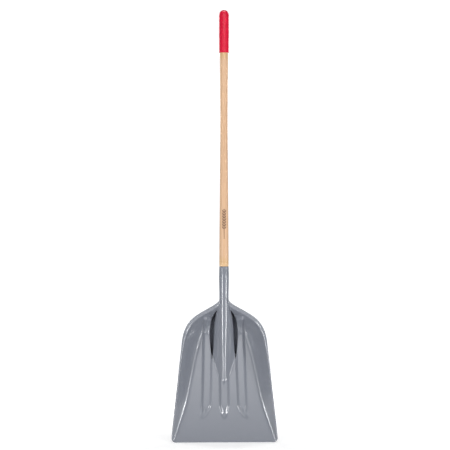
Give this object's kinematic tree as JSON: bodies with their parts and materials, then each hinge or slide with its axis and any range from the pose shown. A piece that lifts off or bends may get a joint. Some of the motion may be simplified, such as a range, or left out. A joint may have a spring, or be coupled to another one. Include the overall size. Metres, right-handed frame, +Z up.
{
  "type": "grain scoop shovel",
  "caption": "Long-handled scoop shovel for grain: ribbed moulded scoop with an integral socket, straight wooden handle and a soft vinyl grip.",
  "frame": {"origin": "middle of the footprint at the height of the lip edge, with the shovel held upright", "axes": "+Z up along the handle towards the grip, +X to the right and -Y out of the open side of the scoop"},
  "size_m": [0.368, 0.1179, 1.5],
  "materials": {
    "scoop_plastic": "satin moulded grey plastic, worn a little along the lip and rim",
    "ash_wood": "clear-lacquered ash with straight grain along the handle",
    "red_vinyl": "soft glossy red vinyl",
    "zinc_steel": "bright zinc plate"
  },
  "bodies": {
    "root": {"scoop_head": "scoop_plastic", "handle": "ash_wood", "grip": "red_vinyl", "socket_screws": "zinc_steel"}
  },
  "joints": []
}
